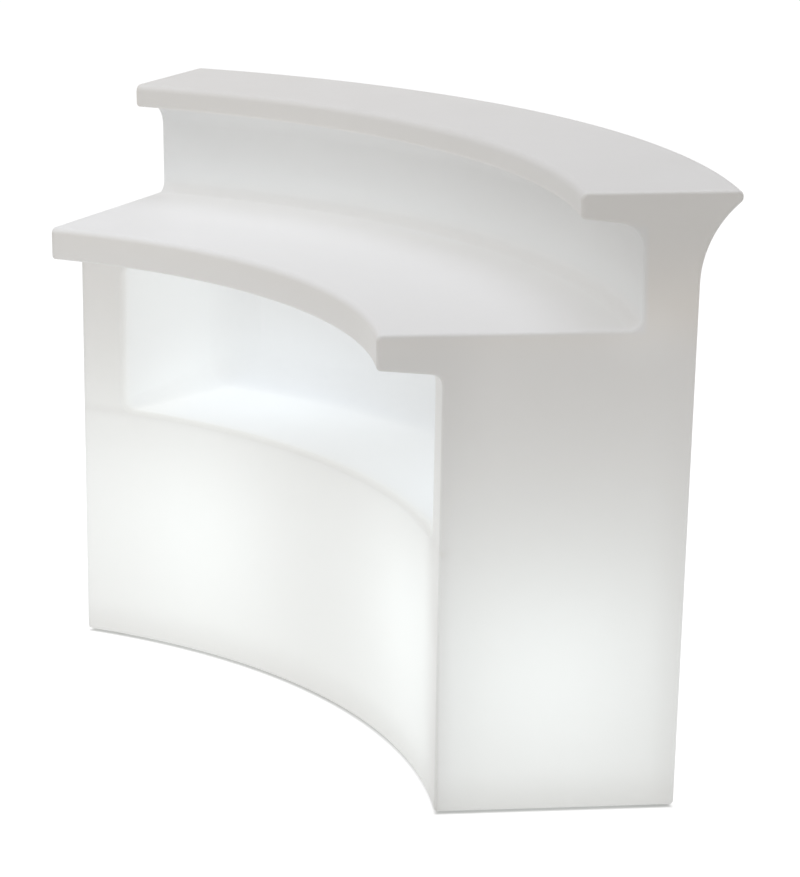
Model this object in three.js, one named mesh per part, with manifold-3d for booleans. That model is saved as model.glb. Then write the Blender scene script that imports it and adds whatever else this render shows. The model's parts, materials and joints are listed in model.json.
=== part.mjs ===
// A curved bar counter with a raised guest ledge, a working shelf and a storage niche. It is one hollow
// translucent moulding, lit from inside by two lamps and standing on levelling feet.
// Millimetres, +Z up. The staff's side is concave and faces -Y. The counter is drawn about its centre of
// curvature, with angles from +Y towards +X, and then moved so that its box stands on the origin.
import * as THREE from "three";
import { mergeVertices } from "three/addons/utils/BufferGeometryUtils.js";
import Module from "manifold-3d";

const wasm = await Module();
wasm.setup();

// Shell: the arc, the plan and the heights above the floor
const arcDegrees = 60;
const wall = 5;
const floorGap = 5;
const frontRadius = 1236; // the lower front face at its foot
const baseDepth = 424; // from the front face to the guests' face at the foot
const frontLean = 13; // how far the front face leans back up to the shelf
const outerLean = 21; // how far the guests' face leans out up to the flare
const shelfOverhang = 112;
const shelfHeight = 863.5;
const shelfThickness = 63;
const shelfDraft = 10; // how far the shelf's underside falls towards the front face
const upstandDepth = 94; // from the wall behind the shelf to the guests' face
const counterHeight = 1100;
const ledgeOverhang = 107;
const ledgeThickness = 45;
const ledgeDraft = 6;
const flareReach = 74; // how far the ledge's outer edge stands out of the guests' face
const flareDegrees = 50; // slope of the flare at its tip, from upright
const tipHeight = 17;

// Shell: roundings
const edgeFillet = 10;
const endRounding = 7;
const flareFillet = 190;
const ledgeRootFillet = 40;
const shelfRootFillet = 22;
const frontRootFillet = 19;

// Storage niche under the working shelf
const nicheFloorHeight = 481;
const nicheTopStrip = 25; // what is left of the front face between the niche and the shelf
const nicheBackGap = 100; // from the niche's back to the guests' face
const nicheSideInset = 95; // from the counter's ends to the niche's mouth
const nicheSplayDegrees = 9;
const nicheFillet = 40;
const nicheLip = 8;

// Levelling feet
const footEdgeInset = 48; // from the front and guests' faces to a foot's axis
const footEndInset = 62; // from the counter's ends to a foot's axis
const padRadius = 20;
const padSocketDepth = 6;
const padCapThickness = 5;
const padChamfer = 2;
const stemRadius = 5;
const stemHeadRadius = 8;
const stemLength = 45;
const stemFloorGap = 2.5;
const stemKeyWidth = 6;
const stemKeyDepth = 3.5;
const footInsertRadius = 8;
const footInsertLength = 30;
const stemRunOut = 4; // free depth over a fully raised stem

// Light kits
const lampEndInset = 334; // from the counter's ends to a lamp's axis
const apertureRadius = 80;
const plateRadius = 107;
const plateThickness = 4;
const plateRecess = 2; // how far the hatch lies up inside the base
const gasketThickness = 2;
const gasketEdge = 3; // how far the gasket stays inside the plate's rim
const screwCircleRadius = 93;
const screwRadius = 2;
const screwHeadRadius = 4;
const screwHeadHeight = 2;
const hatchScrewLength = 16;
const hatchScrewCount = 4;
const hatchInsertRadius = 4;
const hatchInsertLength = 12;
const insertRunOut = 2;
const riserHeight = 115;
const riserRadius = 16;
const riserBore = 13;
const riserFlangeRadius = 32;
const riserFlangeThickness = 8;
const riserScrewOffset = 24;
const riserScrewLength = 10;
const riserScrewCount = 2;
const holderRadius = 20;
const holderHeight = 54;
const holderPlugLength = 10;
const capRadius = 13;
const capLength = 28;
const capContactRadius = 7;
const capContactHeight = 4;
const bulbRadius = 30;
const bulbNeckRadius = 14;
const bulbLength = 95;

// Wiring
const cableRadius = 3;
const cableEntryHeight = 24; // from the foot of a lamp holder to its cable entries
const clipWidth = 14;
const clipLength = 10;
const clipRoof = 3; // thickness of a clip over its cable
const clipDegrees = [-7, 0, 7];
// Shares of the way along and of the way down
const linkFall = [
  [0, 0],
  [0.06, 0],
  [0.18, 0.07],
  [0.27, 0.28],
  [0.36, 0.56],
  [0.49, 0.82],
  [0.66, 0.95],
  [0.86, 0.99],
  [1, 1],
];
const supplyFall = [
  [0, 0],
  [0.08, 0],
  [0.23, 0.15],
  [0.42, 0.56],
  [0.63, 0.93],
  [0.87, 1],
  [1, 1],
];
const inletHeight = 82;
const inletSeatDepth = 1; // flat seat sunk into the curved wall, with as much added behind it
const inletBarrelRadius = 11;
const inletFlangeRadius = 17;
const inletFlangeThickness = 4;
const inletSocketRadius = 8;
const inletSocketDepth = 12;
const inletInsideLength = 16; // how far the barrel reaches in past its inner seat
const inletNutRadius = 16;
const inletNutThickness = 6;

// Clearances and mesh fineness
const seatGap = 0.3;
const slipGap = 0.5;
const socketGap = 1.5;
const cutMargin = 1; // how far a cutter runs past the face that it opens
const sweepSteps = 18;
const outsideDivisions = 2; // each fillet has twice as many flats
const insideDivisions = 1;
const endRings = 2;
const hexagonSides = 6;
const smallSides = 8;
const roundSides = 14;
const wideSides = 32;
const globeRings = 8;
const cableDivisions = 4; // a cable has twice as many sides
const linkCableSteps = 48;
const supplyLeadSteps = 24;

// Sizes that follow from the driving dimensions
const degree = Math.PI / 180;
const halfArc = (arcDegrees / 2) * degree;
const middleRadius = frontRadius + baseDepth / 2;
const frontTopRadius = frontRadius + frontLean;
const outerBaseRadius = frontRadius + baseDepth;
const outerTopRadius = outerBaseRadius + outerLean;
const shelfInnerRadius = frontTopRadius - shelfOverhang;
const shelfUnderside = shelfHeight - shelfThickness - shelfDraft;
const upstandRadius = outerTopRadius - upstandDepth;
const ledgeInnerRadius = upstandRadius - ledgeOverhang;
const ledgeOuterRadius = outerTopRadius + flareReach;
const ledgeUnderside = counterHeight - ledgeThickness - ledgeDraft;
const tipUnderside = counterHeight - tipHeight;
const flareHeight = tipUnderside - flareReach / Math.tan(flareDegrees * degree);
const outerLeanAngle = Math.atan(outerLean / (flareHeight - floorGap));
const nicheCeiling = shelfUnderside - nicheTopStrip;
const nicheBackRadius = outerTopRadius - nicheBackGap;
const padThickness = floorGap + padSocketDepth;
const footSeat = padThickness + seatGap;
const stemHeadTop = padThickness - padCapThickness - seatGap;
const stemTop = stemFloorGap + stemLength;
const plateUnderside = floorGap + plateRecess;
const plateTop = plateUnderside + plateThickness;
const hatchSeat = plateTop + gasketThickness;
const riserTop = plateTop + riserHeight;
const holderTop = riserTop + holderHeight;
const capSeat = holderTop - capLength;
const cableEntry = riserTop + cableEntryHeight;
const baseInside = floorGap + wall;
const cableRest = baseInside + cableRadius + seatGap;
const lampAngle = halfArc - Math.asin(lampEndInset / middleRadius);
const inletInnerSeat = -wall - inletSeatDepth;
const inletInnerEnd = inletInnerSeat - inletInsideLength;

// Materials
const plastic = (color, roughness) => new THREE.MeshStandardMaterial({ color, roughness, metalness: 0 });
const metal = (color, roughness) => new THREE.MeshStandardMaterial({ color, roughness, metalness: 1 });
const shellFinish = () => plastic(0xf2f1ee, 0.5);
const padFinish = () => plastic(0x8d8f90, 0.7);
const hatchFinish = () => plastic(0xe6e5e1, 0.45);
const gasketFinish = () => plastic(0x2b2b2b, 0.85);
const holderFinish = () => plastic(0xf4f2ea, 0.35);
const cableFinish = () => plastic(0xe9e7e2, 0.6);
const inletFinish = () => plastic(0x2e2f31, 0.5);
const globeFinish = () => plastic(0xfffaf0, 0.3);
const steelFinish = () => metal(0xb9bcc0, 0.35);
const brassFinish = () => metal(0xb8974a, 0.4);

// Solids for joining and cutting
function solidOf(geometry) {
  const bare = geometry.clone();
  bare.deleteAttribute("normal");
  bare.deleteAttribute("uv");
  const merged = mergeVertices(bare);
  const vertProperties = new Float32Array(merged.getAttribute("position").array);
  const triVerts = new Uint32Array(merged.index.array);
  return new wasm.Manifold(new wasm.Mesh({ numProp: 3, vertProperties, triVerts }));
}

function geometryOf(solid) {
  const mesh = solid.getMesh();
  const geometry = new THREE.BufferGeometry();
  geometry.setAttribute("position", new THREE.BufferAttribute(mesh.vertProperties, 3));
  geometry.setIndex(new THREE.BufferAttribute(mesh.triVerts, 1));
  geometry.computeVertexNormals();
  return geometry;
}

const cut = (solid, others) => others.reduce((rest, other) => rest.subtract(solidOf(other)), solid);

// A round piece about the Z axis, from [radius, height] points taken anticlockwise
function turned(profile, sides) {
  const points = profile.map(([radius, height]) => new THREE.Vector2(radius, height));
  return new THREE.LatheGeometry(points, sides).rotateX(Math.PI / 2);
}

function rod(radius, low, high, sides) {
  return turned([[0, low], [radius, low], [radius, high], [0, high]], sides);
}

function tube(bore, radius, low, high, sides) {
  return turned([[bore, low], [radius, low], [radius, high], [bore, high], [bore, low]], sides);
}

// Outlines: corners in radius and height, taken anticlockwise, each with its own fillet
const corner = (radius, height, fillet) => ({ at: new THREE.Vector2(radius, height), fillet });

function sidesAt(corners, i) {
  const here = corners[i].at;
  const before = here.clone().sub(corners.at(i - 1).at);
  const after = corners[(i + 1) % corners.length].at.clone().sub(here);
  const turn = Math.atan2(before.cross(after), before.dot(after));
  return { before, after, turn };
}

const leftOf = (side) => new THREE.Vector2(-side.y, side.x).normalize();

// The outline moved inwards by a wall's thickness, or outwards where that is negative
function offsetCorners(corners, inwards) {
  return corners.map(({ at, fillet }, i) => {
    const { before, after, turn } = sidesAt(corners, i);
    const first = leftOf(before);
    const second = leftOf(after);
    const shift = first.clone().add(second).multiplyScalar(inwards / (1 + first.dot(second)));
    const offsetFillet = Math.max(fillet - Math.sign(turn) * inwards, 0);
    return { at: at.clone().add(shift), fillet: offsetFillet };
  });
}

// The outline as a shape, with each fillet limited by the length of the sides beside it
function shapeOf(corners) {
  const sides = corners.map((_, i) => sidesAt(corners, i));
  const reach = corners.map(({ fillet }, i) => fillet * Math.tan(Math.abs(sides[i].turn) / 2));
  const shape = new THREE.Shape();
  corners.forEach(({ at }, i) => {
    const { before, after, turn } = sides[i];
    const roomBefore = before.length() / (reach[i] + reach.at(i - 1) || 1);
    const roomAfter = after.length() / (reach[i] + reach[(i + 1) % reach.length] || 1);
    const length = reach[i] * Math.min(1, roomBefore, roomAfter);
    const start = at.clone().sub(before.clone().setLength(length));
    if (length === 0) {
      if (i === 0) shape.moveTo(at.x, at.y);
      else shape.lineTo(at.x, at.y);
      return;
    }
    const radius = length / Math.tan(Math.abs(turn) / 2);
    const centre = start.clone().add(leftOf(before).multiplyScalar(Math.sign(turn) * radius));
    const from = start.clone().sub(centre).angle();
    shape.absarc(centre.x, centre.y, radius, from, from + turn, turn < 0);
  });
  return shape;
}

// Sweeps an outline round the centre of curvature. endInset gives the distance from the counter's end
// planes at each radius.
function swept(corners, endInset, curveSegments, rounding = 0) {
  const halfLength = halfArc * middleRadius;
  const depth = 2 * (halfLength - rounding);
  const geometry = new THREE.ExtrudeGeometry(shapeOf(corners), {
    depth,
    steps: sweepSteps,
    curveSegments,
    bevelEnabled: rounding > 0,
    bevelThickness: rounding,
    bevelSize: rounding,
    bevelOffset: -rounding,
    bevelSegments: endRings,
  });
  geometry.translate(0, 0, -depth / 2);
  const place = geometry.getAttribute("position");
  for (let i = 0; i < place.count; i++) {
    const radius = place.getX(i);
    const height = place.getY(i);
    const halfAngle = halfArc - Math.asin(endInset(radius) / radius);
    const angle = (place.getZ(i) / halfLength) * halfAngle;
    place.setXYZ(i, radius * Math.sin(angle), radius * Math.cos(angle), height);
  }
  return geometry;
}

// The counter's section
function counterCorners() {
  return [
    corner(frontRadius, floorGap, edgeFillet),
    corner(outerBaseRadius, floorGap, edgeFillet),
    corner(outerTopRadius, flareHeight, flareFillet),
    corner(ledgeOuterRadius, tipUnderside, edgeFillet),
    corner(ledgeOuterRadius, counterHeight, edgeFillet),
    corner(ledgeInnerRadius, counterHeight, edgeFillet),
    corner(ledgeInnerRadius, counterHeight - ledgeThickness, edgeFillet),
    corner(upstandRadius, ledgeUnderside, ledgeRootFillet),
    corner(upstandRadius, shelfHeight, shelfRootFillet),
    corner(shelfInnerRadius, shelfHeight, edgeFillet),
    corner(shelfInnerRadius, shelfHeight - shelfThickness, edgeFillet),
    corner(frontTopRadius, shelfUnderside, frontRootFillet),
  ];
}

function frontRadiusAt(height) {
  return frontRadius + (frontLean * (height - floorGap)) / (shelfUnderside - floorGap);
}

// The niche's section, with a bevelled lip that runs out in front of the front face
function nicheCorners() {
  const mouthRadius = frontRadius - nicheLip;
  const runOut = (height) => frontRadiusAt(height) - mouthRadius + nicheLip;
  return [
    corner(mouthRadius, nicheFloorHeight - runOut(nicheFloorHeight), 0),
    corner(frontRadiusAt(nicheFloorHeight) + nicheLip, nicheFloorHeight, 0),
    corner(nicheBackRadius, nicheFloorHeight, nicheFillet),
    corner(nicheBackRadius, nicheCeiling, nicheFillet),
    corner(frontRadiusAt(nicheCeiling) + nicheLip, nicheCeiling, 0),
    corner(mouthRadius, nicheCeiling + runOut(nicheCeiling), 0),
  ];
}

const nicheInset = (radius) =>
  nicheSideInset + (radius - frontRadius) * Math.tan(nicheSplayDegrees * degree);

// Places on the plan: a group whose +Y points away from the centre of curvature
function placeAt(radius, angle) {
  const group = new THREE.Group();
  group.position.set(radius * Math.sin(angle), radius * Math.cos(angle), 0);
  group.rotation.z = -angle;
  group.updateMatrixWorld(true);
  return group;
}

function footPlaces() {
  const radii = [frontRadius + footEdgeInset, outerBaseRadius - footEdgeInset];
  return radii.flatMap((radius) => {
    const endAngle = halfArc - Math.asin(footEndInset / radius);
    return [-endAngle, 0, endAngle].map((angle) => placeAt(radius, angle));
  });
}

const lampPlaces = () => [-lampAngle, lampAngle].map((angle) => placeAt(middleRadius, angle));

function hatchScrewSpots() {
  return Array.from({ length: hatchScrewCount }, (_, i) => {
    const angle = ((i + 0.5) * 2 * Math.PI) / hatchScrewCount;
    return new THREE.Vector3(screwCircleRadius * Math.cos(angle), screwCircleRadius * Math.sin(angle), 0);
  });
}

function riserScrewSpots() {
  return Array.from({ length: riserScrewCount }, (_, i) => {
    const angle = (i * 2 * Math.PI) / riserScrewCount;
    return new THREE.Vector3(riserScrewOffset * Math.cos(angle), riserScrewOffset * Math.sin(angle), 0);
  });
}

const moved = (geometry, spot) => geometry.translate(spot.x, spot.y, spot.z);
const inPlace = (geometry, place) => geometry.applyMatrix4(place.matrixWorld);

// The inlet's axis is square to the guests' face
function inletPlace() {
  const radius = outerBaseRadius + (inletHeight - floorGap) * Math.tan(outerLeanAngle);
  const group = placeAt(radius, -lampAngle);
  group.position.z = inletHeight;
  group.rotation.set(-Math.PI / 2 - outerLeanAngle, 0, lampAngle, "ZYX");
  group.updateMatrixWorld(true);
  return group;
}

// What stays solid inside the shell's hollow round each foot and hatch
function footBosses() {
  const socketWall = rod(padRadius + socketGap + wall, 0, footSeat + wall, roundSides);
  const insertWall = rod(footInsertRadius + seatGap + wall, 0, stemTop + stemRunOut + wall, roundSides);
  return [socketWall, insertWall];
}

function hatchBosses() {
  const rim = rod(plateRadius + socketGap + wall, 0, hatchSeat + wall, wideSides);
  const columnTop = hatchSeat + hatchInsertLength + insertRunOut + wall;
  const column = () => rod(hatchInsertRadius + seatGap + wall, 0, columnTop, roundSides);
  return [rim, ...hatchScrewSpots().map((spot) => moved(column(), spot))];
}

// What is cut out of the shell from below for each foot and hatch
function footCuts() {
  const socket = rod(padRadius + socketGap, 0, footSeat, roundSides);
  const hole = rod(footInsertRadius + seatGap, 0, stemTop + stemRunOut, roundSides);
  return [socket, hole];
}

function hatchCuts() {
  const recess = rod(plateRadius + socketGap, 0, hatchSeat, wideSides);
  const aperture = rod(apertureRadius, 0, hatchSeat + wall + cutMargin, wideSides);
  const holeTop = hatchSeat + hatchInsertLength + insertRunOut;
  const hole = () => rod(hatchInsertRadius + seatGap, 0, holeTop, smallSides);
  return [recess, aperture, ...hatchScrewSpots().map((spot) => moved(hole(), spot))];
}

// The flat seats of the inlet's nut and flange, and the hole between them
const inletBoss = () => rod(inletNutRadius + socketGap, inletInnerSeat, 0, roundSides);

function inletCuts() {
  const seat = rod(inletFlangeRadius + socketGap, -inletSeatDepth, inletSeatDepth, roundSides);
  const hole = rod(inletBarrelRadius + seatGap, inletInnerSeat - cutMargin, 0, roundSides);
  return [seat, hole];
}

function counterShell() {
  const corners = counterCorners();
  const niche = nicheCorners();
  const atPlaces = (places, shapes) => places.flatMap((at) => shapes().map((shape) => inPlace(shape, at)));
  const feet = footPlaces();
  const lamps = lampPlaces();
  const inlet = [inletPlace()];
  const hollow = cut(solidOf(swept(offsetCorners(corners, wall), () => wall, insideDivisions)), [
    swept(offsetCorners(niche, -wall), (radius) => nicheInset(radius) - wall, insideDivisions),
    ...atPlaces(feet, footBosses),
    ...atPlaces(lamps, hatchBosses),
    ...atPlaces(inlet, () => [inletBoss()]),
  ]);
  const outside = solidOf(swept(corners, () => 0, outsideDivisions, endRounding));
  const shell = cut(outside.subtract(hollow), [
    swept(niche, nicheInset, outsideDivisions),
    ...atPlaces(feet, footCuts),
    ...atPlaces(lamps, hatchCuts),
    ...atPlaces(inlet, inletCuts),
  ]);
  return geometryOf(shell);
}

// Levelling foot
function footPad() {
  const headRoom = stemHeadRadius + slipGap;
  const neck = stemRadius + slipGap;
  const ceiling = padThickness - padCapThickness;
  return turned(
    [
      [headRoom, 0],
      [padRadius - padChamfer, 0],
      [padRadius, padChamfer],
      [padRadius, padThickness],
      [neck, padThickness],
      [neck, ceiling],
      [headRoom, ceiling],
      [headRoom, 0],
    ],
    roundSides,
  );
}

function footStem() {
  const body = turned(
    [
      [0, stemFloorGap],
      [stemHeadRadius, stemFloorGap],
      [stemHeadRadius, stemHeadTop],
      [stemRadius, stemHeadTop],
      [stemRadius, stemTop],
      [0, stemTop],
    ],
    roundSides,
  );
  const keyRadius = stemKeyWidth / 2 / Math.cos(Math.PI / hexagonSides);
  const key = rod(keyRadius, stemFloorGap - cutMargin, stemFloorGap + stemKeyDepth, hexagonSides);
  return geometryOf(cut(solidOf(body), [key]));
}

const footInsert = () =>
  tube(stemRadius + seatGap, footInsertRadius, footSeat, footSeat + footInsertLength, roundSides);

// Light kit
const screwHole = (low, high) => rod(screwRadius + seatGap, low - cutMargin, high + cutMargin, smallSides);

function screw(length) {
  const headLow = plateUnderside - screwHeadHeight;
  return turned(
    [
      [0, headLow],
      [screwHeadRadius, headLow],
      [screwHeadRadius, plateUnderside],
      [screwRadius, plateUnderside],
      [screwRadius, plateUnderside + length],
      [0, plateUnderside + length],
    ],
    smallSides,
  );
}

function hatchPlate() {
  const plate = solidOf(rod(plateRadius, plateUnderside, plateTop, wideSides));
  const spots = [...hatchScrewSpots(), ...riserScrewSpots()];
  return geometryOf(cut(plate, spots.map((spot) => moved(screwHole(plateUnderside, plateTop), spot))));
}

function hatchGasket() {
  const ring = solidOf(tube(apertureRadius, plateRadius - gasketEdge, plateTop, hatchSeat, wideSides));
  const holes = hatchScrewSpots().map((spot) => moved(screwHole(plateTop, hatchSeat), spot));
  return geometryOf(cut(ring, holes));
}

const hatchInsert = () =>
  tube(screwRadius + seatGap, hatchInsertRadius, hatchSeat, hatchSeat + hatchInsertLength, smallSides);

function lampRiser() {
  const flangeTop = plateTop + riserFlangeThickness;
  const column = turned(
    [
      [riserBore, plateTop],
      [riserFlangeRadius, plateTop],
      [riserFlangeRadius, flangeTop],
      [riserRadius, flangeTop],
      [riserRadius, riserTop],
      [riserBore, riserTop],
      [riserBore, plateTop],
    ],
    roundSides,
  );
  const holeTop = plateUnderside + riserScrewLength + seatGap - cutMargin;
  const holes = riserScrewSpots().map((spot) => moved(screwHole(plateTop, holeTop), spot));
  return geometryOf(cut(solidOf(column), holes));
}

function lampHolder() {
  const plugRadius = riserBore - seatGap;
  const plugFoot = riserTop - holderPlugLength;
  const socketRadius = capRadius + slipGap;
  return turned(
    [
      [0, plugFoot],
      [plugRadius, plugFoot],
      [plugRadius, riserTop],
      [holderRadius, riserTop],
      [holderRadius, holderTop],
      [socketRadius, holderTop],
      [socketRadius, capSeat],
      [0, capSeat],
    ],
    roundSides,
  );
}

function bulbCap() {
  return turned(
    [
      [0, capSeat],
      [capContactRadius, capSeat],
      [capRadius, capSeat + capContactHeight],
      [capRadius, holderTop],
      [0, holderTop],
    ],
    roundSides,
  );
}

function bulbGlobe() {
  const centreHeight = holderTop + bulbLength - bulbRadius;
  const lowestTurn = -Math.acos(bulbNeckRadius / bulbRadius);
  const arc = Array.from({ length: globeRings }, (_, i) => {
    const turn = lowestTurn + (i / globeRings) * (Math.PI / 2 - lowestTurn);
    return [bulbRadius * Math.cos(turn), centreHeight + bulbRadius * Math.sin(turn)];
  });
  const neckFoot = [bulbNeckRadius, holderTop];
  return turned([[0, holderTop], neckFoot, ...arc, [0, centreHeight + bulbRadius]], roundSides);
}

// Wiring: a round cable along a smooth curve
function cableAlong(points, steps) {
  const section = new THREE.Shape().absarc(0, 0, cableRadius, 0, 2 * Math.PI, false);
  const extrudePath = new THREE.CatmullRomCurve3(points);
  const options = { steps, curveSegments: cableDivisions, extrudePath, bevelEnabled: false };
  return new THREE.ExtrudeGeometry(section, options);
}

const atPolar = (radius, angle, height) =>
  new THREE.Vector3(radius * Math.sin(angle), radius * Math.cos(angle), height);

// Distances from a lamp's axis and heights, from its holder down to where the cable is level again
function fallTo(end, height, shares) {
  const start = holderRadius + seatGap;
  return shares.map(([along, down]) => [
    start + along * (end - start),
    cableEntry + down * (height - cableEntry),
  ]);
}

// Out of the left holder, down to the base, through the clips and up to the right holder
function linkCable() {
  const outerClip = Math.max(...clipDegrees) * degree;
  const landing = (lampAngle - outerClip) * middleRadius - clipLength;
  const fromLeft = fallTo(landing, cableRest, linkFall).map(([along, height]) =>
    atPolar(middleRadius, along / middleRadius - lampAngle, height),
  );
  const level = clipDegrees.map((angle) => atPolar(middleRadius, angle * degree, cableRest));
  const toRight = fromLeft.map((point) => new THREE.Vector3(-point.x, point.y, point.z)).reverse();
  return cableAlong([...fromLeft, ...level, ...toRight], linkCableSteps);
}

// Out of the left holder to the inlet
function supplyLead() {
  const inletEnd = outerBaseRadius + inletInnerEnd - seatGap - middleRadius;
  const points = fallTo(inletEnd, inletHeight, supplyFall).map(([out, height]) =>
    atPolar(middleRadius + out, -lampAngle, height),
  );
  return cableAlong(points, supplyLeadSteps);
}

function cableClip() {
  const height = cableRest - baseInside + cableRadius + seatGap + clipRoof;
  const section = new THREE.Shape();
  section.moveTo(-clipWidth / 2, 0);
  section.lineTo(clipWidth / 2, 0);
  section.lineTo(clipWidth / 2, height);
  section.lineTo(-clipWidth / 2, height);
  const bore = new THREE.Path();
  bore.absarc(0, cableRest - baseInside, cableRadius + seatGap, 0, 2 * Math.PI, true);
  section.holes.push(bore);
  const options = { depth: clipLength, curveSegments: cableDivisions, bevelEnabled: false };
  const clip = new THREE.ExtrudeGeometry(section, options);
  return clip.rotateX(Math.PI / 2).rotateZ(Math.PI / 2).translate(-clipLength / 2, 0, baseInside);
}

// Power inlet: its local Z points out of the guests' face, whose outside is at zero
function powerInlet() {
  const flangeFoot = seatGap - inletSeatDepth;
  const flangeTop = flangeFoot + inletFlangeThickness;
  return turned(
    [
      [0, inletInnerEnd],
      [inletBarrelRadius, inletInnerEnd],
      [inletBarrelRadius, flangeFoot],
      [inletFlangeRadius, flangeFoot],
      [inletFlangeRadius, flangeTop],
      [inletSocketRadius, flangeTop],
      [inletSocketRadius, flangeTop - inletSocketDepth],
      [0, flangeTop - inletSocketDepth],
    ],
    roundSides,
  );
}

function inletNut() {
  const high = inletInnerSeat - seatGap;
  const low = high - inletNutThickness;
  const bore = rod(inletBarrelRadius + seatGap, low - cutMargin, high + cutMargin, roundSides);
  return geometryOf(cut(solidOf(rod(inletNutRadius, low, high, hexagonSides)), [bore]));
}

// Assembly
function add(group, name, geometry, material, spot = new THREE.Vector3()) {
  const mesh = new THREE.Mesh(geometry, material);
  mesh.name = name;
  mesh.position.copy(spot);
  group.add(mesh);
}

function addFoot(group, number) {
  add(group, `foot_pad_${number}`, footPad(), padFinish());
  add(group, `foot_stem_${number}`, footStem(), steelFinish());
  add(group, `foot_insert_${number}`, footInsert(), brassFinish());
}

function addLamp(group, side) {
  add(group, `hatch_plate_${side}`, hatchPlate(), hatchFinish());
  add(group, `hatch_gasket_${side}`, hatchGasket(), gasketFinish());
  add(group, `lamp_riser_${side}`, lampRiser(), hatchFinish());
  add(group, `lamp_holder_${side}`, lampHolder(), holderFinish());
  add(group, `bulb_cap_${side}`, bulbCap(), steelFinish());
  add(group, `bulb_globe_${side}`, bulbGlobe(), globeFinish());
  hatchScrewSpots().forEach((spot, i) => {
    add(group, `hatch_screw_${side}_${i + 1}`, screw(hatchScrewLength), steelFinish(), spot);
    add(group, `hatch_insert_${side}_${i + 1}`, hatchInsert(), brassFinish(), spot);
  });
  riserScrewSpots().forEach((spot, i) => {
    add(group, `riser_screw_${side}_${i + 1}`, screw(riserScrewLength), steelFinish(), spot);
  });
}

function addWiring(group) {
  add(group, "link_cable", linkCable(), cableFinish());
  add(group, "supply_lead", supplyLead(), cableFinish());
  clipDegrees.forEach((angle, i) => {
    const place = placeAt(middleRadius, angle * degree);
    add(place, `cable_clip_${i + 1}`, cableClip(), cableFinish());
    group.add(place);
  });
  const inlet = inletPlace();
  add(inlet, "power_inlet", powerInlet(), inletFinish());
  add(inlet, "inlet_nut", inletNut(), inletFinish());
  group.add(inlet);
}

function barCounter() {
  const counter = new THREE.Group();
  add(counter, "counter_shell", counterShell(), shellFinish());
  footPlaces().forEach((place, i) => {
    addFoot(place, i + 1);
    counter.add(place);
  });
  const sides = ["left", "right"];
  lampPlaces().forEach((place, i) => {
    addLamp(place, sides[i]);
    counter.add(place);
  });
  addWiring(counter);
  const middle = new THREE.Box3().setFromObject(counter).getCenter(new THREE.Vector3());
  counter.position.set(-middle.x, -middle.y, 0);
  return counter;
}

const assembly = new THREE.Group();
assembly.add(barCounter());

export default assembly;
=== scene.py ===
import json
import math

import bmesh
import bpy
from mathutils import Matrix, Vector


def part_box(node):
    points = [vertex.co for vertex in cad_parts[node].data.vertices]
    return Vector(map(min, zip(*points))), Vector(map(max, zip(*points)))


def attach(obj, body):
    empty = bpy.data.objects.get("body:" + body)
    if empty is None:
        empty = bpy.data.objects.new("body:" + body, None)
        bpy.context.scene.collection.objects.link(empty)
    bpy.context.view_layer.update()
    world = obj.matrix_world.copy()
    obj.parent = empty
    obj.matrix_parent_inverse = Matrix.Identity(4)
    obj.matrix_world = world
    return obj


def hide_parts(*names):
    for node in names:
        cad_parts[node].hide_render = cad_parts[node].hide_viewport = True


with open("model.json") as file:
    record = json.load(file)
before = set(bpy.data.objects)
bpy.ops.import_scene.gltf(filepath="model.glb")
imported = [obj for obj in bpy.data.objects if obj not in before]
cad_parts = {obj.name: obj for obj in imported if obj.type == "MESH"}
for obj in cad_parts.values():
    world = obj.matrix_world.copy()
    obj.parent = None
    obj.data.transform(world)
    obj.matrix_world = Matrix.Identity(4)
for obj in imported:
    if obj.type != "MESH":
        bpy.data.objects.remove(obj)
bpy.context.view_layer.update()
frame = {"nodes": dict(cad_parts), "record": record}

# Sizes of the moulding in metres, with radii from the centre of curvature
HALF_ARC = math.radians(30)
WALL = 0.005
BASE = 0.005
FRONT_FOOT = 1.236
FRONT_HEAD = 1.249
FRONT_TOP = 0.7905
OUTER_FOOT = 1.660
OUTER_HEAD = 1.687
OUTER_TOP = 1.0209
LEDGE_INNER = 1.480
LEDGE_OUTER = 1.755
LEDGE_TOP = 1.100
SHELF_INNER = 1.137
SHELF_ROOT = 1.587
SHELF_TOP = 0.8635
CENTRE_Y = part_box("counter_shell")[1].y - LEDGE_OUTER
END_ROUNDING = 0.006
LEAST_FILLET = 0.001

# Section corners as radius, height, fillet and the number of facets in the fillet
SECTION = [
    (FRONT_FOOT, BASE, 0.007, 6),
    (OUTER_FOOT, BASE, 0.007, 6),
    (OUTER_HEAD, OUTER_TOP, 0.190, 14),
    (LEDGE_OUTER, 1.083, 0.010, 6),
    (LEDGE_OUTER, LEDGE_TOP, 0.010, 6),
    (LEDGE_INNER, LEDGE_TOP, 0.014, 8),
    (LEDGE_INNER, 1.055, 0.009, 6),
    (SHELF_ROOT, 1.042, 0.046, 10),
    (SHELF_ROOT, SHELF_TOP, 0.022, 8),
    (SHELF_INNER, SHELF_TOP, 0.012, 8),
    (SHELF_INNER, 0.8005, 0.008, 6),
    (FRONT_HEAD, FRONT_TOP, 0.019, 6),
]

NICHE_FLOOR = 0.481
NICHE_CEILING = 0.7755
NICHE_BACK = 1.581
NICHE_MOUTH = 0.030
NICHE_LIP = 0.012
NICHE_LIP_LEAD = 0.0005
CEILING_LIP_SHARE = 0.5
NICHE_CORNER = 0.022
NICHE_BACK_CORNER = 0.055
BACK_CORNER_SHARE = 0.6
NICHE_BACK_FILLET = 0.075
NICHE_INSET = 0.095
NICHE_SPLAY = math.tan(math.radians(11.5))

# Facets of a quarter turn in the roundings, and columns along the arc
QUARTER_FACETS = 6
LIP_FACETS = 8
OUTER_COLUMNS = 96
INNER_COLUMNS = 60

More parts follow.
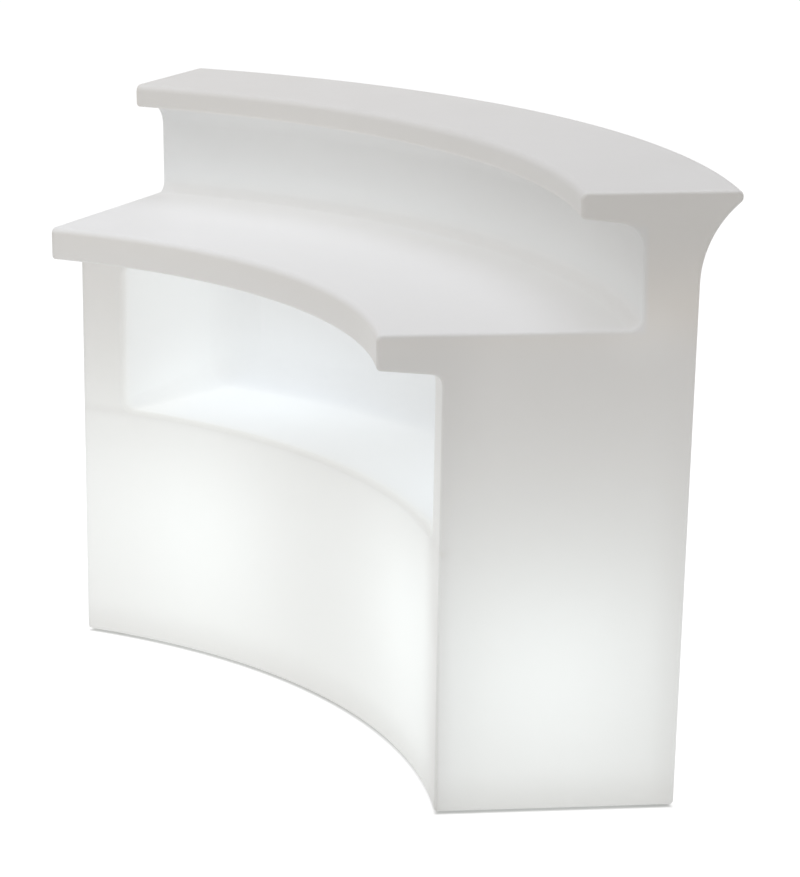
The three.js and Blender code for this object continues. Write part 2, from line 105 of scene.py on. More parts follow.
# Places of the lamps, feet, hatch screws and inlet. The inlet leans as the solids' outer face does
MIDDLE = 1.448
LAMP_FROM_END = 0.334
LAMP_ANGLE = HALF_ARC - math.asin(LAMP_FROM_END / MIDDLE)
LAMP_HEIGHT = 0.245
FOOT_FROM_FACE = 0.048
FOOT_FROM_END = 0.062
HATCH_SCREWS = 4
HATCH_SCREW_RADIUS = 0.093
INLET_HEIGHT = 0.082
LEAN_OUT = 0.021
LEAN = math.atan(LEAN_OUT / (OUTER_TOP - BASE))
PIN_ASIDE = 0.0036

# Seats in the shell as radii and heights. A form to cut with goes past the surface by an overlap
FOOT_SEAT, FOOT_SEAT_TOP = 0.0215, 0.0113
FOOT_BORE, FOOT_BORE_TOP = 0.0083, 0.0515
HATCH_SEAT, HATCH_SEAT_TOP = 0.1085, 0.013
HATCH_OPENING, HATCH_OPENING_TOP = 0.080, 0.03
SCREW_HOLE, SCREW_HOLE_START, SCREW_HOLE_TOP = 0.0043, 0.01, 0.027
INLET_BORE, INLET_SEAT, INLET_BOSS = 0.0113, 0.0185, 0.0175
INLET_SEAT_DEPTH = 0.001
OVERLAP = 0.01

# Ribs round the rim of a foot pad
PAD_SIDES = 144
RIB_SIDES = 6
RIB_RINGS = (3, 4, 5)
RIB_DEPTH = 0.0006


def bent(radius, angle, height):
    """A place given by its radius, its angle from +Y towards +X and its height."""
    return Vector((radius * math.sin(angle), radius * math.cos(angle) + CENTRE_Y, height))


def quarter(facets, first=0):
    """Angles from nought to a right angle in even steps, from the first step on."""
    return [math.pi / 2 * k / facets for k in range(first, facets + 1)]


# Mesh building
def mesh_object(name, points, faces):
    mesh = bpy.data.meshes.new(name)
    mesh.from_pydata([tuple(p) for p in points], [], faces)
    work = bmesh.new()
    work.from_mesh(mesh)
    bmesh.ops.remove_doubles(work, verts=work.verts, dist=1e-6)
    bmesh.ops.recalc_face_normals(work, faces=work.faces)
    work.to_mesh(mesh)
    work.free()
    made = bpy.data.objects.new(name, mesh)
    bpy.context.scene.collection.objects.link(made)
    return made


def tube_faces(ring_count, size):
    """Four-sided faces between rings of the same size, laid one after another."""
    faces = []
    for ring in range(ring_count - 1):
        low = ring * size
        for k in range(size):
            after = (k + 1) % size
            faces.append((low + k, low + after, low + size + after, low + size + k))
    return faces


def lathe(profile, sides, place=Matrix.Identity(4)):
    """Points and faces of a closed turned form, from its profile of radii and heights."""
    points = []
    for radius, height in profile:
        for k in range(sides):
            turn = 2 * math.pi * k / sides
            spot = Vector((radius * math.cos(turn), radius * math.sin(turn), height))
            points.append(place @ spot)
    return points, tube_faces(len(profile), sides)


def joined(name, shapes):
    points, faces = [], []
    for more_points, more_faces in shapes:
        start = len(points)
        points += more_points
        faces += [tuple(start + k for k in face) for face in more_faces]
    return mesh_object(name, points, faces)


def turned(name, profile, sides, places):
    """One object with the same turned form at each place."""
    return joined(name, [lathe(profile, sides, at) for at in places])


def cut(target, tool):
    """Takes the tool's volume out of the target, and removes the tool."""
    change = target.modifiers.new("cut", "BOOLEAN")
    change.operation = "DIFFERENCE"
    change.solver = "EXACT"
    change.object = tool
    seen = target.evaluated_get(bpy.context.evaluated_depsgraph_get())
    made = bpy.data.meshes.new_from_object(seen)
    target.modifiers.clear()
    old = target.data
    target.data = made
    bpy.data.meshes.remove(old)
    tool_mesh = tool.data
    bpy.data.objects.remove(tool)
    bpy.data.meshes.remove(tool_mesh)


def smooth(target, angle):
    """Smooth shading, with edges sharper than the angle in degrees kept sharp."""
    target.data.polygons.foreach_set("use_smooth", [True] * len(target.data.polygons))
    target.data.set_sharp_from_angle(angle=math.radians(angle))
    even = target.modifiers.new("even shading", "WEIGHTED_NORMAL")
    even.keep_sharp = True
    return target


# The moulding
def fillet(before, here, after, radius, facets):
    into = (here - before).normalized()
    out = (after - here).normalized()
    turn = math.atan2(into.x * out.y - into.y * out.x, into.dot(out))
    side = math.copysign(1, turn)
    first = here - into * (radius * math.tan(abs(turn) / 2))
    centre = first + Vector((-into.y, into.x)) * (radius * side)
    arm = first - centre
    spots = []
    for k in range(facets + 1):
        a = turn * k / facets
        spots.append(centre + Vector((arm.x * math.cos(a) - arm.y * math.sin(a),
                                      arm.x * math.sin(a) + arm.y * math.cos(a))))
    return spots


def outline(inset):
    """The section's outline moved inwards by an inset, with the same number of points each time."""
    spots = [Vector(row[:2]) for row in SECTION]
    count = len(spots)
    lines = []
    for k in range(count):
        along = (spots[(k + 1) % count] - spots[k]).normalized()
        lines.append((spots[k] + Vector((-along.y, along.x)) * inset, along))
    moved = []
    for k in range(count):
        (p, d), (q, e) = lines[k - 1], lines[k]
        share = ((q.x - p.x) * e.y - (q.y - p.y) * e.x) / (d.x * e.y - d.y * e.x)
        moved.append(p + d * share)
    points = []
    for k in range(count):
        before, here, after = moved[k - 1], moved[k], moved[(k + 1) % count]
        turn = (here - before).x * (after - here).y - (here - before).y * (after - here).x
        radius = SECTION[k][2] - math.copysign(inset, turn)
        points += fillet(before, here, after, max(radius, LEAST_FILLET), SECTION[k][3])
    return points


def bent_outline(shape, depth, share):
    """An outline at a share of the arc, whose ends lie at a depth behind the end planes."""
    return [bent(p.x, share * (HALF_ARC - math.asin(depth / p.x)), p.y) for p in shape]


def sweep(name, inset, rounding, steps):
    """The section bent round the centre of curvature, with rounded ends."""
    flat = outline(inset)
    ends = []
    for side in (-1, 1):
        rings = []
        for a in quarter(QUARTER_FACETS) if rounding else [0.0]:
            depth = inset + rounding * (1 - math.cos(a))
            shape = outline(inset + rounding * (1 - math.sin(a))) if rounding else flat
            rings.append(bent_outline(shape, depth, side))
        ends.append(rings)
    middle = [bent_outline(flat, inset + rounding, 2 * k / steps - 1) for k in range(1, steps)]
    ordered = ends[0] + middle + ends[1][::-1]
    size = len(flat)
    faces = tube_faces(len(ordered), size)
    faces.append(tuple(range(size)))
    faces.append(tuple(range((len(ordered) - 1) * size, len(ordered) * size)))
    return mesh_object(name, [p for ring in ordered for p in ring], faces)


def front_at(height):
    """The radius of the staff's face at a height."""
    return FRONT_FOOT + (FRONT_HEAD - FRONT_FOOT) * (height - BASE) / (FRONT_TOP - BASE)


def niche_ring(grow, radius_at, rounding, columns):
    """A rounded frame on the bent front: its lower half from left to right, its upper half back."""
    low = NICHE_FLOOR - grow
    high = NICHE_CEILING + min(grow, CEILING_LIP_SHARE * grow)
    turns = quarter(QUARTER_FACETS)
    insets = [rounding * (1 - math.cos(a)) for a in turns]
    lower = [low + rounding * (1 - math.sin(a)) for a in turns]
    upper = [low + high - height for height in lower]
    ring = []
    for heights in (lower, upper):
        row = []
        for in_by, height in zip(insets, heights):
            radius = radius_at(height)
            inset = NICHE_INSET + (radius - FRONT_FOOT) * NICHE_SPLAY
            edge = HALF_ARC - math.asin(inset / radius)
            row.append((radius, (edge * radius + grow - in_by) / radius, height))
        left = [bent(r, -a, h) for r, a, h in row]
        right = [bent(r, a, h) for r, a, h in row][::-1]
        inner_r, inner_a, inner_h = row[-1]
        between = [
            bent(inner_r, inner_a * (2 * k / columns - 1), inner_h) for k in range(1, columns)
        ]
        whole = left + between + right
        ring += whole if heights is lower else whole[::-1]
    return ring


def niche(name, skin, columns):
    """The pocket as a solid to cut with. Its mouth widens to a lip, and a skin makes it larger."""
    rings = []

    def mouth_ring(depth, grow):
        rounding = NICHE_CORNER + grow + skin
        rings.append(niche_ring(grow + skin, lambda z: front_at(z) + depth, rounding, columns))

    if skin:
        mouth_ring(-NICHE_MOUTH, 0.0)
    else:
        mouth_ring(-NICHE_MOUTH, NICHE_LIP)
        mouth_ring(-NICHE_LIP_LEAD, NICHE_LIP)
        for a in quarter(LIP_FACETS, 2):
            mouth_ring(NICHE_LIP * (1 - math.cos(a)), NICHE_LIP * (1 - math.sin(a)))
    for a in quarter(QUARTER_FACETS):
        grow = -NICHE_BACK_FILLET * (1 - math.cos(a))
        back = NICHE_BACK + skin - NICHE_BACK_FILLET * (1 - math.sin(a))
        rounding = NICHE_BACK_CORNER + skin + BACK_CORNER_SHARE * grow
        rings.append(niche_ring(grow + skin, lambda z: back, rounding, columns))
    size = len(rings[0])
    faces = tube_faces(len(rings), size)
    for start in (0, (len(rings) - 1) * size):
        for k in range(size // 2 - 1):
            other = size - 1 - k
            faces.append((start + k, start + k + 1, start + other - 1, start + other))
    return mesh_object(name, [p for one in rings for p in one], faces)


def standing(radius, angle):
    """A place on the plan whose +Y points away from the centre of curvature."""
    return Matrix.Translation(bent(radius, angle, 0)) @ Matrix.Rotation(-angle, 4, "Z")


def foot_places():
    for radius in (FRONT_FOOT + FOOT_FROM_FACE, OUTER_FOOT - FOOT_FROM_FACE):
        end = HALF_ARC - math.asin(FOOT_FROM_END / radius)
        for angle in (-end, 0, end):
            yield standing(radius, angle)


def lamp_places():
    return [standing(MIDDLE, -LAMP_ANGLE), standing(MIDDLE, LAMP_ANGLE)]


def hatch_screw_places():
    for place in lamp_places():
        for k in range(HATCH_SCREWS):
            a = (k + 0.5) * 2 * math.pi / HATCH_SCREWS
            spot = (HATCH_SCREW_RADIUS * math.cos(a), HATCH_SCREW_RADIUS * math.sin(a), 0)
            yield place @ Matrix.Translation(spot)


def inlet_place():
    """Its +Z points out of the guests' face, which is at zero."""
    radius = OUTER_FOOT + (INLET_HEIGHT - BASE) * math.tan(LEAN)
    turn = Matrix.Rotation(LAMP_ANGLE, 4, "Z") @ Matrix.Rotation(-math.pi / 2 - LEAN, 4, "X")
    return Matrix.Translation(bent(radius, -LAMP_ANGLE, INLET_HEIGHT)) @ turn


def rod(radius, low, high):
    return [(0, low), (radius, low), (radius, high), (0, high)]


def stepped(first, second, low, middle, high):
    """The profile of a turned form with one radius up to the middle and another above it."""
    return [(0, low), (first, low), (first, middle), (second, middle), (second, high), (0, high)]


def counter_shell():
    """The hollow shell, with bosses left standing in its hollow and seats cut for what it holds."""
    cavity = sweep("hollow", WALL, 0, INNER_COLUMNS)
    cut(cavity, niche("niche wall", WALL, INNER_COLUMNS))
    boss = stepped(FOOT_SEAT + WALL, FOOT_BORE + WALL, 0, FOOT_SEAT_TOP + WALL, FOOT_BORE_TOP + WALL)
    cut(cavity, turned("foot bosses", boss, 24, foot_places()))
    rim = rod(HATCH_SEAT + WALL, 0, HATCH_SEAT_TOP + WALL)
    cut(cavity, turned("hatch rims", rim, 64, lamp_places()))
    column = rod(SCREW_HOLE + WALL, 0, SCREW_HOLE_TOP + WALL)
    cut(cavity, turned("columns", column, 20, hatch_screw_places()))
    inlet_boss = rod(INLET_BOSS, -INLET_SEAT_DEPTH - WALL, 0)
    cut(cavity, turned("inlet boss", inlet_boss, 32, [inlet_place()]))
    shell = sweep("bar_counter_moulding", 0, END_ROUNDING, OUTER_COLUMNS)
    cut(shell, cavity)
    cut(shell, niche("niche", 0, OUTER_COLUMNS))
    foot = stepped(FOOT_SEAT, FOOT_BORE, -OVERLAP, FOOT_SEAT_TOP, FOOT_BORE_TOP)
    cut(shell, turned("foot sockets", foot, 32, foot_places()))
    hatch = stepped(HATCH_SEAT, HATCH_OPENING, -OVERLAP, HATCH_SEAT_TOP, HATCH_OPENING_TOP)
    cut(shell, turned("hatch seats", hatch, 72, lamp_places()))
    hole = rod(SCREW_HOLE, SCREW_HOLE_START, SCREW_HOLE_TOP)
    cut(shell, turned("holes", hole, 16, hatch_screw_places()))
    inlet = stepped(INLET_BORE, INLET_SEAT, -OVERLAP, -INLET_SEAT_DEPTH, OVERLAP)
    cut(shell, turned("inlet seat", inlet, 40, [inlet_place()]))
    return smooth(shell, 40)


def power_inlet():
    """A bevelled flange and barrel round a socket, with a groove in the flange."""
    profile = [
        (0, -0.022), (0.0103, -0.022), (0.011, -0.0213), (0.011, -0.0007),
        (0.0163, -0.0007), (0.017, 0), (0.017, 0.0022), (0.0159, 0.0033),
        (0.0145, 0.0033), (0.0141, 0.0027), (0.0133, 0.0027), (0.0129, 0.0033),
        (0.0095, 0.0033), (0.008, 0.0022), (0.008, -0.0087), (0, -0.0087),
    ]
    return smooth(turned("inlet_body", profile, 64, [inlet_place()]), 30)


def inlet_pins():
    pin = [(0, -0.0086), (0.0012, -0.0086), (0.0012, 0.0004), (0.0006, 0.0011), (0, 0.0011)]
    places = [inlet_place() @ Matrix.Translation((x, 0, 0)) for x in (-PIN_ASIDE, PIN_ASIDE)]
    return smooth(turned("inlet_pins", pin, 24, places), 30)


def foot_pad(number, place):
    """A round pad with a grip rim, open below and in the middle for the stem's head."""
    profile = [
        (0.0085, 0), (0.0176, 0), (0.0188, 0.0005), (0.0197, 0.0016),
        (0.020, 0.0024), (0.020, 0.0104), (0.0194, 0.011), (0.0059, 0.011),
        (0.0055, 0.0106), (0.0055, 0.006), (0.0085, 0.006), (0.0085, 0),
    ]
    points, faces = lathe(profile, PAD_SIDES)
    ribbed = []
    for k, point in enumerate(points):
        in_groove = k // PAD_SIDES in RIB_RINGS and k % RIB_SIDES < RIB_SIDES / 2
        dip = RIB_DEPTH if in_groove else 0.0
        ribbed.append(place @ Vector((*(point.xy - point.xy.normalized() * dip), point.z)))
    return smooth(mesh_object(f"foot_pad_ribbed_{number}", ribbed, faces), 30)


# Shader nodes
def node(tree, kind, inputs=None, **settings):
    made = tree.nodes.new(kind)
    for key, value in settings.items():
        setattr(made, key, value)
    for key, value in (inputs or {}).items():
        if isinstance(value, bpy.types.NodeSocket):
            tree.links.new(value, made.inputs[key])
        else:
            made.inputs[key].default_value = value
    return made


def maths(tree, operation, first, second=0.0):
    return node(tree, "ShaderNodeMath", {0: first, 1: second}, operation=operation).outputs[0]


def times(tree, first, second):
    return maths(tree, "MULTIPLY", first, second)


def plus(tree, first, second):
    return maths(tree, "ADD", first, second)


def minus(tree, first, second):
    return maths(tree, "SUBTRACT", first, second)


def larger(tree, first, second):
    return maths(tree, "MAXIMUM", first, second)


def vectors(tree, operation, inputs, output="Vector"):
    return node(tree, "ShaderNodeVectorMath", inputs, operation=operation).outputs[output]


def eased(tree, value, start, end, low=0.0, high=1.0):
    """Goes smoothly from low to high while the value goes from start to end."""
    inputs = {"Value": value, "From Min": start, "From Max": end, "To Min": low, "To Max": high}
    return node(tree, "ShaderNodeMapRange", inputs, interpolation_type="SMOOTHSTEP").outputs[0]


def mixed(tree, share, first, second):
    made = node(tree, "ShaderNodeMix", {0: share}, data_type="RGBA")
    for socket, colour in ((made.inputs[6], first), (made.inputs[7], second)):
        if isinstance(colour, bpy.types.NodeSocket):
            tree.links.new(colour, socket)
        else:
            socket.default_value = (*colour, 1)
    return made.outputs[2]


def new_material(name):
    made = bpy.data.materials.new(name)
    made.use_nodes = True
    tree = made.node_tree
    shader = tree.nodes["Principled BSDF"]
    place = node(tree, "ShaderNodeTexCoord").outputs["Object"]
    return made, tree, shader, place


def grain(tree, place, scale, detail=4.0, stretch=(1, 1, 1)):
    spread = node(tree, "ShaderNodeMapping", {"Vector": place, "Scale": stretch}).outputs[0]
    inputs = {"Vector": spread, "Scale": scale, "Detail": detail, "Roughness": 0.55}
    return node(tree, "ShaderNodeTexNoise", inputs).outputs[0]


def bump(tree, shader, height, strength, distance):
    inputs = {"Height": height, "Strength": strength, "Distance": distance}
    tree.links.new(node(tree, "ShaderNodeBump", inputs).outputs[0], shader.inputs["Normal"])


def bent_place(tree, place):
    """A place's distance from the centre of curvature, and from the plane of the nearer end."""
    level = vectors(tree, "SUBTRACT", {0: place, 1: (0, CENTRE_Y, 0)})
    level = vectors(tree, "MULTIPLY", {0: level, 1: (1, 1, 0)})
    radius = vectors(tree, "LENGTH", {0: level}, "Value")
    x, y, _ = node(tree, "ShaderNodeSeparateXYZ", {0: level}).outputs
    aside = times(tree, maths(tree, "ABSOLUTE", x), math.cos(HALF_ARC))
    return radius, minus(tree, times(tree, y, math.sin(HALF_ARC)), aside)


# Light through the wall of the moulding, painted on it as a glow. Glows as angle, how fast they fall
# off, and power
PAINTED_LAMP_GLOWS = (
    (LAMP_ANGLE, 9.0, 0.152),
    (LAMP_ANGLE, 25.0, 0.19),
    (HALF_ARC, 26.0, 0.115),
)
# Where the painted shade along the edges lies, then the colours of the painted light
FRONT_EDGE = FRONT_FOOT + 0.004
GUEST_EDGE = OUTER_FOOT + 0.006
NEAR_END_SPREAD = 0.33
LIP_HEIGHT = NICHE_FLOOR - 0.005
LIP_RADIUS = FRONT_HEAD + 0.003
EDGE_SHARPNESS = 8.0
LAMP_TINT = (0.94, 1.033, 1.042)
NICHE_SIDE_LAMP_TINT = (0.935, 1.05, 1.13)
NICHE_BACK_LAMP_TINT = (0.79, 0.965, 1.19)
RECESS_LIGHT_TINT = (0.93, 0.99, 1.06)
LOW_GLOW_TINT = (1.0, 0.965, 0.915)
HIGH_GLOW_TINT = (1.04, 0.945, 0.81)
HIGH_END_GLOW_TINT = (1.12, 0.935, 0.72)
SHELF_GLOW_TINT = (0.97, 0.98, 1.0)
UPRIGHT_GLOW_TINT = (0.90, 1.0, 1.07)
NICHE_GLOW_TINT = (0.965, 0.967, 0.955)


def niche_share(tree, radius, from_end, height):
    """One on the niche's inside and nought elsewhere."""
    share = eased(tree, height, NICHE_FLOOR - 0.011, NICHE_FLOOR + 0.009)
    for value, start, end in (
        (height, NICHE_CEILING + 0.0095, NICHE_CEILING - 0.0055),
        (radius, FRONT_HEAD - 0.004, FRONT_HEAD + 0.026),
        (radius, NICHE_BACK + 0.019, NICHE_BACK + 0.004),
        (from_end, NICHE_INSET - 0.065, NICHE_INSET - 0.025),
    ):
        share = times(tree, share, eased(tree, value, start, end))
    return share


def painted_lamp_light(tree, place, height):
    """Painted light of the two lamps on the moulding, strongest near them and low down."""
    lit = times(tree, eased(tree, height, 0.86, 0.30), 0.168)
    for side in (-1, 1):
        for angle, tightness, power in PAINTED_LAMP_GLOWS:
            lamp = bent(MIDDLE, side * angle, LAMP_HEIGHT)
            away = vectors(tree, "DISTANCE", {0: place, 1: lamp}, "Value")
            fall = times(tree, maths(tree, "POWER", away, 2.0), -tightness)
            lit = plus(tree, lit, times(tree, maths(tree, "EXPONENT", fall), power))
    return lit


def painted_shell_light(tree, place):
    """The painted light on the moulding, as a glow colour that stands in for the lamps' light
    through its wall and for light in its recesses. Its edges and upper parts give the least, a
    painted shade.
    """
    radius, from_end = bent_place(tree, place)
    across, _, height = node(tree, "ShaderNodeSeparateXYZ", {0: place}).outputs
    in_niche = niche_share(tree, radius, from_end, height)
    from_front = minus(tree, radius, FRONT_EDGE)
    end_edge = larger(tree, times(tree, from_end, EDGE_SHARPNESS), from_front)

    # Painted light of the lamps, with painted shade at the niche's back and more painted light on
    # its sides
    lit = painted_lamp_light(tree, place, height)
    niche_back_shade = times(tree, in_niche, eased(tree, radius, 1.45, 1.58, low=-0.13, high=-0.32))
    lit = times(tree, lit, plus(tree, niche_back_shade, 1.0))
    niche_side_light = times(tree, in_niche, eased(tree, from_end, 0.23, 0.13))
    niche_side_light = times(tree, niche_side_light, eased(tree, height, 0.53, 0.76, high=0.06))
    lit = plus(tree, lit, niche_side_light)

    # Painted shade along the edges, low down and at the niche's lip: by distance, how far the edge
    # reaches and what is left at it
    beyond_middle = times(tree, maths(tree, "MINIMUM", across, 0.0), -1.0)
    inwards = plus(tree, times(tree, from_end, NEAR_END_SPREAD), beyond_middle)
    from_guests = minus(tree, GUEST_EDGE, radius)
    from_lip = maths(tree, "ABSOLUTE", minus(tree, height, LIP_HEIGHT))
    from_lip = larger(tree, from_lip, minus(tree, radius, LIP_RADIUS))
    for distance, reach, least in (
        (larger(tree, inwards, times(tree, from_front, EDGE_SHARPNESS)), 0.060, 0.45),
        (end_edge, 0.035, 0.74),
        (larger(tree, from_end, from_guests), 0.065, 0.74),
        (height, 0.090, 0.64),
        (from_lip, 0.016, 0.78),
    ):
        lit = times(tree, lit, eased(tree, distance, 0.0, reach, low=least))
    at_back = eased(tree, from_end, 0.13, 0.23)
    niche_cool = mixed(tree, at_back, NICHE_SIDE_LAMP_TINT, NICHE_BACK_LAMP_TINT)
    cool = mixed(tree, in_niche, LAMP_TINT, niche_cool)

    # Painted light between the working shelf and the ledge, lifting the shade of that recess
    inside = eased(tree, radius, SHELF_ROOT + 0.013, SHELF_ROOT - 0.001)
    recess = times(tree, eased(tree, height, SHELF_TOP - 0.0135, SHELF_TOP + 0.0025), inside)
    on_wall = eased(tree, height, SHELF_TOP + 0.0025, SHELF_TOP + 0.0365)
    recess_light = times(tree, recess, eased(tree, height, 1.12, 0.88))
    recess_light = times(tree, recess_light, eased(tree, across, -0.75, 0.75, low=0.062, high=0.010))
    recess_light = times(tree, recess_light, plus(tree, times(tree, on_wall, 0.35), 0.65))
    here = node(tree, "ShaderNodeCombineXYZ", {0: radius, 1: height}).outputs[0]
    from_root = vectors(tree, "DISTANCE", {0: here, 1: (SHELF_ROOT, SHELF_TOP, 0)}, "Value")
    recess_light = plus(tree, recess_light, eased(tree, from_root, 0.015, 0.090, low=0.020, high=0.0))

    # Painted light all over, more low down and towards one end, less at the ends' edges, and warmer
    # up high and on the end faces
    even = eased(tree, height, 1.05, 0.84, low=0.055, high=0.122)
    even = plus(tree, even, eased(tree, across, -0.8, 0.8, low=0.022, high=-0.020))
    even = times(tree, even, eased(tree, end_edge, 0.0, 0.11, low=0.70))
    up_high = mixed(tree, eased(tree, from_end, 0.004, 0.012), HIGH_END_GLOW_TINT, HIGH_GLOW_TINT)
    warm = mixed(tree, eased(tree, height, 0.80, 0.92), LOW_GLOW_TINT, up_high)
    under_ledge = times(tree, recess, eased(tree, height, 1.05, 1.03))
    warm = mixed(tree, under_ledge, warm, mixed(tree, on_wall, SHELF_GLOW_TINT, UPRIGHT_GLOW_TINT))
    warm = mixed(tree, in_niche, warm, NICHE_GLOW_TINT)

    glow = vectors(tree, "SCALE", {0: cool, "Scale": lit})
    for colour, strength in ((RECESS_LIGHT_TINT, recess_light), (warm, even)):
        part = vectors(tree, "SCALE", {0: colour, "Scale": strength})
        glow = vectors(tree, "ADD", {0: glow, 1: part})
    return glow


# Materials
def shell_material():
    made, tree, shader, place = new_material("translucent polyethylene with painted glow")
    clouds = grain(tree, place, 2.2)
    skin = grain(tree, place, 420, 3.0)
    colour = mixed(tree, clouds, (0.80, 0.79, 0.772), (0.845, 0.838, 0.822))
    tree.links.new(colour, shader.inputs["Base Color"])
    uneven = eased(tree, grain(tree, place, 9), 0.3, 0.7, low=0.40, high=0.50)
    tree.links.new(uneven, shader.inputs["Roughness"])
    bump(tree, shader, skin, 0.05, 0.0006)
    # The emission is painted light and shade, not a colour of the plastic
    tree.links.new(painted_shell_light(tree, place), shader.inputs["Emission Color"])
    shader.inputs["Emission Strength"].default_value = 1.0
    return made


def moulded(name, dark, light, rough, fine=300, metallic=0.0, depth=0.0003, stretch=(1, 1, 1)):
    """A surface with drifting tone, uneven shine and a fine relief."""
    made, tree, shader, place = new_material(name)
    colour = mixed(tree, grain(tree, place, 40, 4, stretch), dark, light)
    tree.links.new(colour, shader.inputs["Base Color"])
    least, most = rough
    uneven = eased(tree, grain(tree, place, 90, 3, stretch), 0.3, 0.7, low=least, high=most)
    tree.links.new(uneven, shader.inputs["Roughness"])
    shader.inputs["Metallic"].default_value = metallic
    bump(tree, shader, grain(tree, place, fine, 3, stretch), 0.3, depth)
    return made


def metal(name, dark, light, rough, drawn):
    """A moulded surface's tones on metal, with its grain drawn out along the axis."""
    return moulded(name, dark, light, rough, 500, 1.0, 0.0001, (1, 1, drawn))


def globe_material():
    made, tree, shader, place = new_material("opal globe")
    colour = mixed(tree, grain(tree, place, 30), (0.9, 0.88, 0.82), (0.95, 0.94, 0.90))
    tree.links.new(colour, shader.inputs["Base Color"])
    uneven = eased(tree, grain(tree, place, 60), 0.3, 0.7, low=0.2, high=0.3)
    tree.links.new(uneven, shader.inputs["Roughness"])
    shader.inputs["Emission Color"].default_value = (1.0, 0.93, 0.82, 1)
    glow = eased(tree, grain(tree, place, 25), 0.2, 0.8, low=0.8)
    tree.links.new(glow, shader.inputs["Emission Strength"])
    return made


finishes = {
    "shell": shell_material(),
    "pad": moulded("grey polyamide", (0.055, 0.058, 0.06), (0.085, 0.088, 0.09), (0.5, 0.65)),
    "steel": metal("zinc plated steel", (0.52, 0.53, 0.55), (0.66, 0.67, 0.69), (0.22, 0.4), 12),
    "brass": metal("turned brass", (0.60, 0.44, 0.18), (0.72, 0.55, 0.25), (0.2, 0.35), 14),
    "hatch": moulded("off-white plastic", (0.72, 0.71, 0.68), (0.79, 0.78, 0.75), (0.42, 0.55)),
    "gasket": moulded(
        "foam rubber", (0.018, 0.018, 0.018), (0.035, 0.035, 0.035), (0.75, 0.9), 900
    ),
    "holder": moulded("glazed ceramic", (0.80, 0.79, 0.73), (0.87, 0.86, 0.81), (0.12, 0.22)),
    "globe": globe_material(),
    "cable": moulded("white cable sheath", (0.70, 0.69, 0.66), (0.78, 0.77, 0.74), (0.45, 0.6)),
    "inlet": moulded("black plastic", (0.018, 0.018, 0.02), (0.032, 0.032, 0.034), (0.4, 0.55)),
}

slot_of = {row["node"]: row["material_slot"] for row in frame["record"]["subparts"]}


# Pieces in the frame
def dressed(piece, slot):
    piece.data.materials.clear()
    piece.data.materials.append(finishes[slot])


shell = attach(counter_shell(), "counter")
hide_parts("counter_shell")
dressed(shell, "shell")
pieces = [
    (power_inlet(), "counter", "power_inlet", "inlet"),
    (inlet_pins(), "counter", None, "brass"),
]
for number, place in enumerate(foot_places(), 1):
    pieces.append((foot_pad(number, place), f"foot_pad_{number}", f"foot_pad_{number}", "pad"))
for piece, body, replaced, slot in pieces:
    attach(piece, body)
    if replaced:
        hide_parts(replaced)
    dressed(piece, slot)
remade = {"counter_shell"} | {row[2] for row in pieces}
for name, piece in frame["nodes"].items():
    if name not in remade:
        piece.material_slots[0].material = finishes[slot_of[name]]

# Studio
FLOOR_REACH = 40
FLOOR_WHITE = 1.56
ROUND_LIGHT = 0.475
AIM = (0, 0, 0.6)
CAMERA_PLACE = (4.7605, -3.2434, 2.0414)
CAMERA_TILT = math.radians(75.025)
CAMERA_TURN = math.radians(55.275)
SENSOR_WIDTH = 36
LENS = 127.47


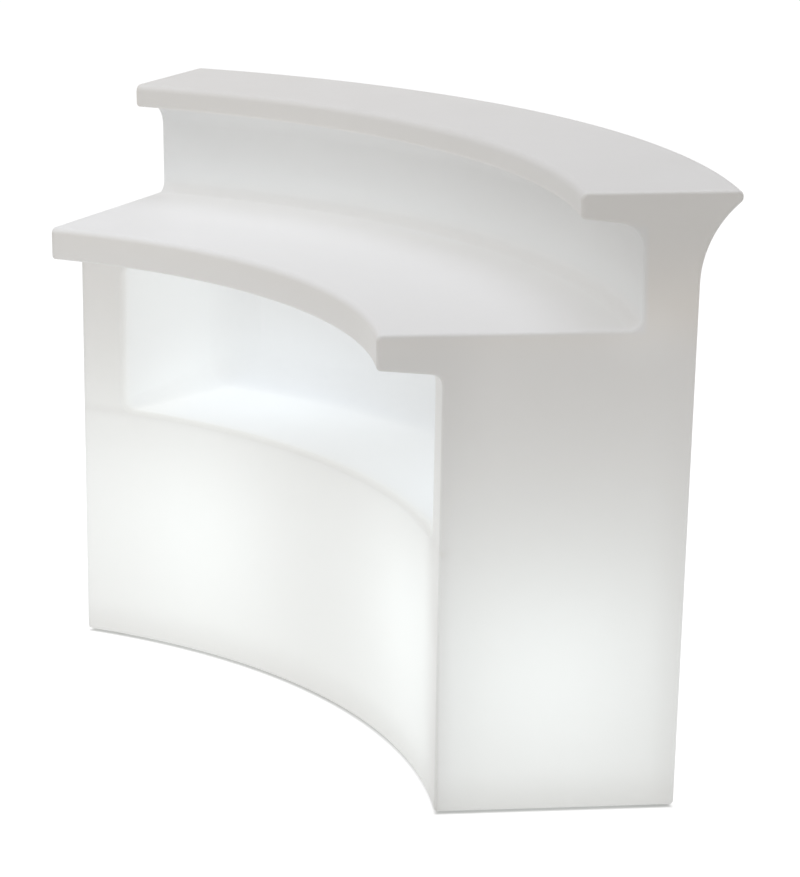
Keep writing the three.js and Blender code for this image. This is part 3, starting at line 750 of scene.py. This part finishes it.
def floor():
    """A pale floor that the camera sees as white, except where the base stands over it: there the
    white is left out, a painted shadow over the floor's own rendered shade.
    """
    signs = ((-1, -1), (1, -1), (1, 1), (-1, 1))
    corners = [(x * FLOOR_REACH, y * FLOOR_REACH, 0) for x, y in signs]
    made = mesh_object("studio_floor", corners, [(0, 1, 2, 3)])
    paint, tree, shader, place = new_material("pale floor")
    colour = mixed(tree, grain(tree, place, 0.8), (0.86, 0.86, 0.86), (0.89, 0.89, 0.89))
    tree.links.new(colour, shader.inputs["Base Color"])
    shader.inputs["Roughness"].default_value = 0.9
    shader.inputs["Specular IOR Level"].default_value = 0.0
    inputs = {"Color": (1, 1, 1, 1), "Strength": FLOOR_WHITE}
    white = node(tree, "ShaderNodeEmission", inputs).outputs[0]
    seen = node(tree, "ShaderNodeLightPath").outputs["Is Camera Ray"]
    radius, from_end = bent_place(tree, place)
    # Mask of the painted shadow under the base, where only the rendered shade of the floor shows
    clear = larger(tree, minus(tree, FRONT_FOOT, radius), minus(tree, radius, OUTER_FOOT))
    clear = larger(tree, clear, times(tree, from_end, -1.0))
    share = times(tree, seen, eased(tree, clear, -0.010, 0.004, high=0.55))
    both = node(tree, "ShaderNodeMixShader", {0: share, 1: shader.outputs[0], 2: white}).outputs[0]
    tree.links.new(both, tree.nodes["Material Output"].inputs["Surface"])
    made.data.materials.append(paint)
    return made


def soft_light(name, spot, size, power, colour=(1, 1, 1)):
    """A round soft lamp aimed at the middle of the counter."""
    lamp = bpy.data.lights.new(name, "AREA")
    lamp.color = colour
    lamp.shape = "DISK"
    lamp.size = size
    lamp.energy = power
    made = bpy.data.objects.new(name, lamp)
    made.location = spot
    made.rotation_euler = (Vector(AIM) - Vector(spot)).to_track_quat("-Z", "Y").to_euler()
    bpy.context.scene.collection.objects.link(made)


def surroundings():
    """Even light from all round, which the camera sees as white."""
    world = bpy.data.worlds.new("studio")
    world.use_nodes = True
    tree = world.node_tree
    seen = node(tree, "ShaderNodeLightPath").outputs["Is Camera Ray"]
    strength = plus(tree, times(tree, seen, 1 - ROUND_LIGHT), ROUND_LIGHT)
    colour = mixed(tree, seen, (1.0, 0.988, 0.965), (1, 1, 1))
    ground = tree.nodes["Background"]
    tree.links.new(colour, ground.inputs["Color"])
    tree.links.new(strength, ground.inputs["Strength"])
    bpy.context.scene.world = world


def camera():
    lens = bpy.data.cameras.new("camera")
    lens.sensor_width = SENSOR_WIDTH
    lens.lens = LENS
    made = bpy.data.objects.new("camera", lens)
    made.location = CAMERA_PLACE
    made.rotation_euler = (CAMERA_TILT, 0, CAMERA_TURN)
    bpy.context.scene.collection.objects.link(made)
    bpy.context.scene.camera = made


floor()
soft_light("top", (0, 0, 5.0), 4.0, 53, (0.95, 0.99, 1.12))
soft_light("key", (-2.2, -3.4, 4.6), 3.0, 20)
soft_light("camera side fill", (2.5, -5.0, 2.6), 3.0, 8, (1.0, 0.95, 0.87))
soft_light("guest side fill", (1.5, 4.5, 3.5), 3.0, 15)
surroundings()
camera()
bpy.context.scene.view_settings.view_transform = "Standard"
